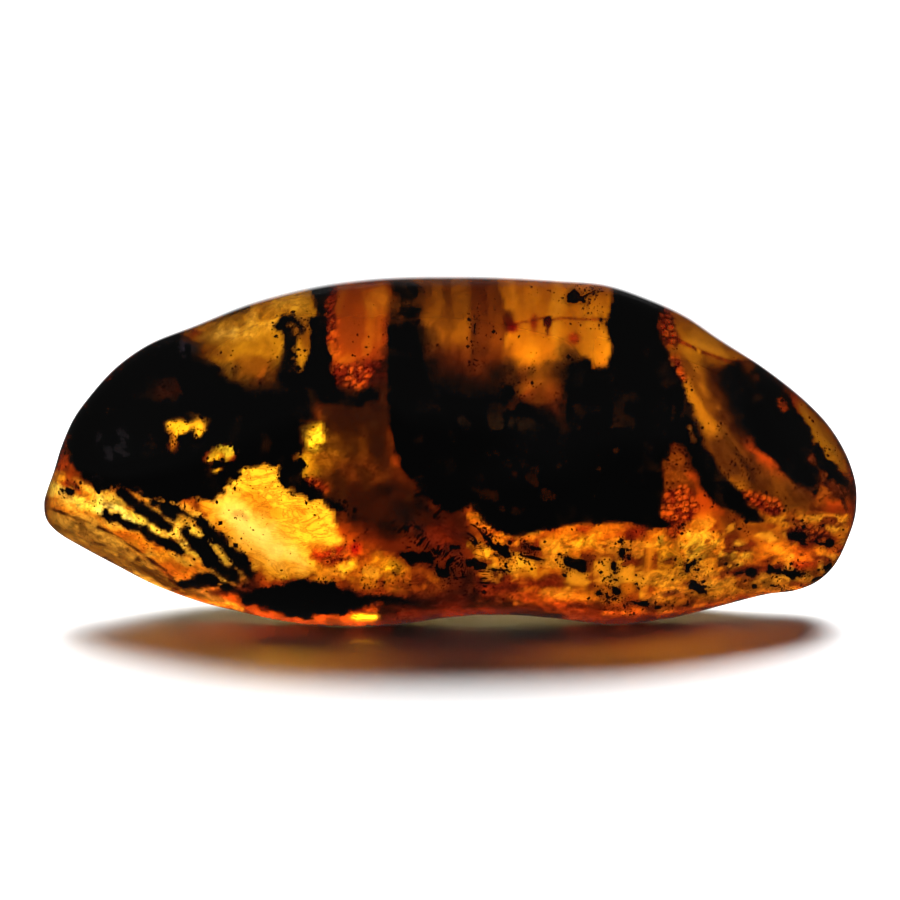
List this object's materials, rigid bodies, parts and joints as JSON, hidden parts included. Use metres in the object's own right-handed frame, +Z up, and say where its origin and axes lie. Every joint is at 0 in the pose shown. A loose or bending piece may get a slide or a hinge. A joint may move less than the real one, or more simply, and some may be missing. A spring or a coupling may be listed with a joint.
{
  "type": "amber pebble",
  "caption": "Long humped pebble of clear golden amber, polished all over, with dark plant debris inside; stands on small flats worn on its underside.",
  "frame": {"origin": "on the surface that the pebble stands on, under the middle of its box", "axes": "+X along the pebble to its blunt end, -Y out of the broad face that is seen first, +Z up"},
  "size_m": [0.092, 0.0248, 0.0394],
  "materials": {
    "amber": "clear golden-brown natural resin, hand polished, IOR 1.54",
    "plant_debris": "matt black-brown clouds and flakes of old plant debris, sealed inside the resin",
    "red_crust": "grainy red-orange oxidised crust and spangles, sealed inside the resin"
  },
  "bodies": {
    "root": {"amber_front": "amber", "amber_back": "amber", "debris_left": "plant_debris", "debris_middle": "plant_debris", "debris_right": "plant_debris", "debris_foot": "plant_debris"}
  },
  "joints": []
}
